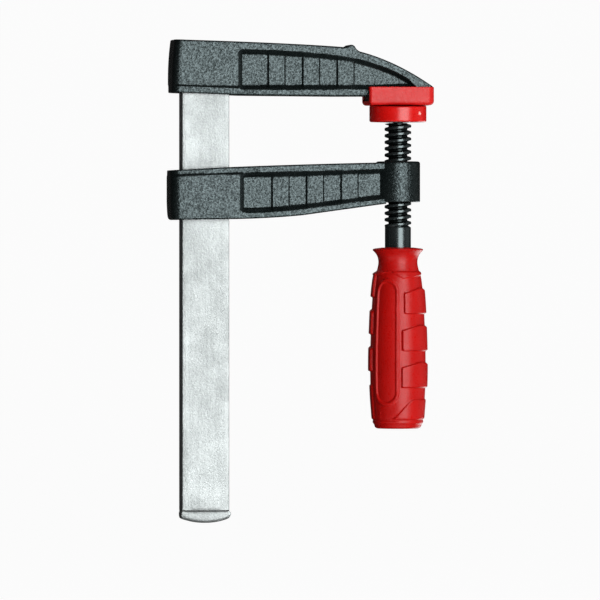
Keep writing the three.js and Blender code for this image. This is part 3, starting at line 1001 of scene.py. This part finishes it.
CENTRE = Vector((-0.0455, 0, -0.0904))  # the middle of the view, in metres
FLOOR_Z = -330.0
STAGE_RADIUS = 6000.0
COVE_RADIUS = 2000.0
WALL_HEIGHT = 4000.0
STAGE_GLOW = 0.96
LIGHT_COLOUR = (0.95, 1.0, 1.0)
WORLD_STRENGTH = 0.025


def direction(azimuth, elevation=0):
    """The unit vector that points from the object towards that azimuth and elevation, in degrees."""
    a, e = math.radians(azimuth), math.radians(elevation)
    return Vector((math.sin(a) * math.cos(e), -math.cos(a) * math.cos(e), math.sin(e)))


def make_stage():
    """A pale floor that curves up into a wall all round, so that no edge shows."""
    look = Look("stage_white", Roughness=0.9, Specular_IOR_Level=0.0)
    dark, light = (0.1, 0.1, 0.1), (0.11, 0.11, 0.11)
    look.set("Base Color", look.colours(look.noise(300, detail=2), (0.3, dark), (0.7, light)))
    look.shader.inputs["Emission Color"].default_value = (1, 1, 1, 1)
    look.shader.inputs["Emission Strength"].default_value = STAGE_GLOW
    azimuths = np.linspace(0, 2 * np.pi, 96, endpoint=False)
    flat = STAGE_RADIUS - COVE_RADIUS
    rings = [round_ring(r, FLOOR_Z, azimuths) for r in (1.0, 1000.0, flat)]
    for sine, cosine in quarter_turn(13)[1:]:
        rings.append(round_ring(flat + COVE_RADIUS * sine, FLOOR_Z + COVE_RADIUS * (1 - cosine), azimuths))
    rings.append(round_ring(STAGE_RADIUS, FLOOR_Z + WALL_HEIGHT, azimuths))
    stage = loft("stage", rings, look.material, closed_ends=(True, False))
    # It glows by itself, but it neither lights the object nor shades it.
    stage.visible_glossy = False
    stage.visible_diffuse = False
    stage.visible_shadow = False


def softbox(name, azimuth, elevation, distance, width, height, radiance, glossy=True):
    """A rectangular area light that faces the object, with that radiance over its whole face."""
    data = bpy.data.lights.new(name, "AREA")
    data.shape = "RECTANGLE"
    data.size, data.size_y = width, height
    data.energy = radiance * math.pi * width * height
    data.color = LIGHT_COLOUR
    light = bpy.data.objects.new(name, data)
    towards = direction(azimuth, elevation)
    light.location = CENTRE + towards * distance
    light.rotation_euler = towards.to_track_quat("Z", "Y").to_euler()
    light.visible_camera = False
    light.visible_glossy = glossy
    bpy.context.scene.collection.objects.link(light)


def make_lights():
    """Soft lights all round, in azimuth, elevation, distance, width, height and radiance."""
    softbox("key", 17, 2, 1.25, 0.9, 1.4, 5.5)
    softbox("front_fill", 30, 35, 1.6, 1.4, 1.0, 0.8, glossy=False)
    softbox("right", 85, 8, 1.5, 1.2, 1.2, 0.2)
    softbox("right_fill", 100, 5, 1.5, 1.2, 1.2, 1.2, glossy=False)
    softbox("rear", 140, -26, 1.6, 1.2, 0.8, 3.0)
    softbox("low_left", -45, -28, 1.6, 1.0, 0.7, 0.9)
    softbox("low_fill", 20, -50, 1.6, 1.4, 1.2, 2.4, glossy=False)
    softbox("rear_fill", 200, 20, 1.6, 1.4, 1.2, 2.6, glossy=False)
    softbox("top", 60, 82, 1.6, 1.4, 1.4, 0.8, glossy=False)
    world = bpy.data.worlds.new("studio")
    world.use_nodes = True
    background = world.node_tree.nodes["Background"]
    background.inputs["Color"].default_value = (1, 1, 1, 1)
    background.inputs["Strength"].default_value = WORLD_STRENGTH
    bpy.context.scene.world = world


def make_camera():
    """A long lens, level with the top of the grip, a little towards the rail's side."""
    azimuth = -9.0
    distance = 3.5
    height = HANDLE_TOP * MM
    width_seen = 0.2789
    beside_axis = -0.0455
    back = direction(azimuth)
    right = Vector((-back.y, back.x, 0))
    target = right * beside_axis
    target.z = CENTRE.z
    data = bpy.data.cameras.new("camera")
    data.sensor_width = 36.0
    data.lens = data.sensor_width * distance / width_seen
    camera = bpy.data.objects.new("camera", data)
    camera.location = target + back * distance
    camera.location.z = height
    camera.rotation_euler = (target - camera.location).to_track_quat("-Z", "Y").to_euler()
    bpy.context.scene.collection.objects.link(camera)
    bpy.context.scene.camera = camera


make_stage()
make_lights()
make_camera()
bpy.context.scene.view_settings.view_transform = "Standard"
